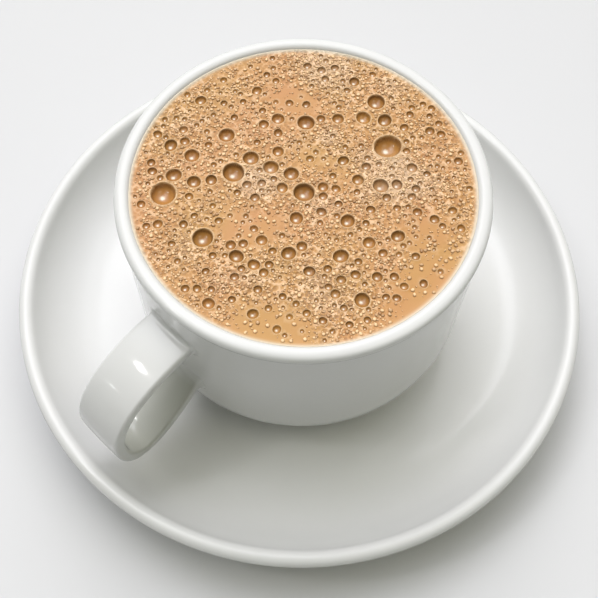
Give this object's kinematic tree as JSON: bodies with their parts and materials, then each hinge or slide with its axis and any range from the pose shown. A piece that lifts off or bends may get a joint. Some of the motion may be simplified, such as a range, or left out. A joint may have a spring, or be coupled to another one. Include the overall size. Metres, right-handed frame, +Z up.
{
  "type": "masala chai in a cup on its saucer",
  "caption": "Frothy masala chai, filled to just under the rim of a white glazed cup with a strap handle that stands on its round white saucer.",
  "frame": {"origin": "on the table, under the middle of the saucer's foot ring", "axes": "+Z up through the middle of saucer, cup and drink, -X towards the middle of the handle"},
  "size_m": [0.15, 0.15, 0.068],
  "materials": {
    "saucer_glaze": "clear glossy glaze on plain white porcelain",
    "cup_glaze": "clear glossy glaze on plain white porcelain",
    "chai": "wet milky tan tea with froth and glossy bubbles"
  },
  "bodies": {
    "root": {"saucer": "saucer_glaze", "cup": "cup_glaze", "chai": "chai"}
  },
  "joints": []
}
